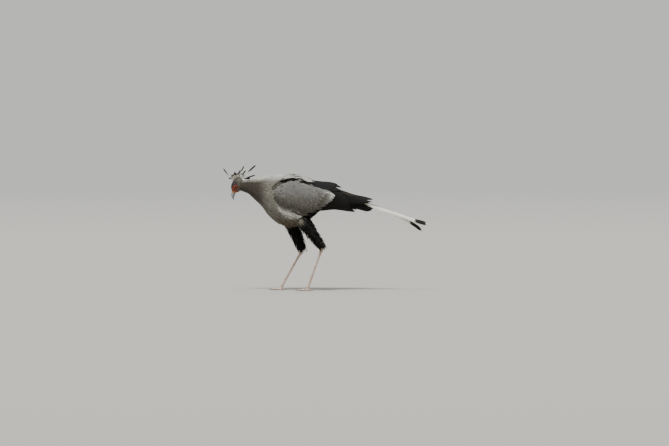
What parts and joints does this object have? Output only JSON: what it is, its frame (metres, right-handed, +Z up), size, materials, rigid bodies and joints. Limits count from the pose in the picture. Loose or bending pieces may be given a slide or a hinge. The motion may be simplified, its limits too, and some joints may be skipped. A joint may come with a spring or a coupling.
{
  "type": "secretary bird",
  "caption": "Life-size still model of a secretary bird stalking on long legs, head bent down, crest raised and long tail feathers trailing.",
  "frame": {"origin": "on the floor below the centre of the whole bird, crest and tail included", "axes": "-X the way the bird faces, +X towards the tail, -Y its left side, +Z up"},
  "size_m": [1.4218, 0.2572, 0.8611],
  "materials": {
    "body_plumage": "matte, pale ash-grey body feathers",
    "wing_plumage": "matte, grey coverts over black flight feathers",
    "tail_plumage": "matte, black and grey with white tips",
    "thigh_plumage": "matte, black shaggy feathers",
    "face_skin": "matte, bare orange-red skin",
    "eye": "wet gloss, grey-brown",
    "bill": "satin horn, blue-grey",
    "leg_skin": "matte scaled skin, dull pinkish-grey",
    "claw": "satin horn, dark grey"
  },
  "bodies": {
    "root": {"torso": "body_plumage", "neck": "body_plumage", "head": "face_skin", "eye_left": "eye", "eye_right": "eye", "bill_upper": "bill", "bill_lower": "bill", "tail": "tail_plumage", "wing_left": "wing_plumage", "wing_right": "wing_plumage", "thigh_left": "thigh_plumage", "tarsus_left": "leg_skin", "foot_left": "leg_skin", "claw_left_outer": "claw", "claw_left_middle": "claw", "claw_left_inner": "claw", "claw_left_hind": "claw", "thigh_right": "thigh_plumage", "tarsus_right": "leg_skin", "foot_right": "leg_skin", "claw_right_outer": "claw", "claw_right_middle": "claw", "claw_right_inner": "claw", "claw_right_hind": "claw"}
  },
  "joints": []
}
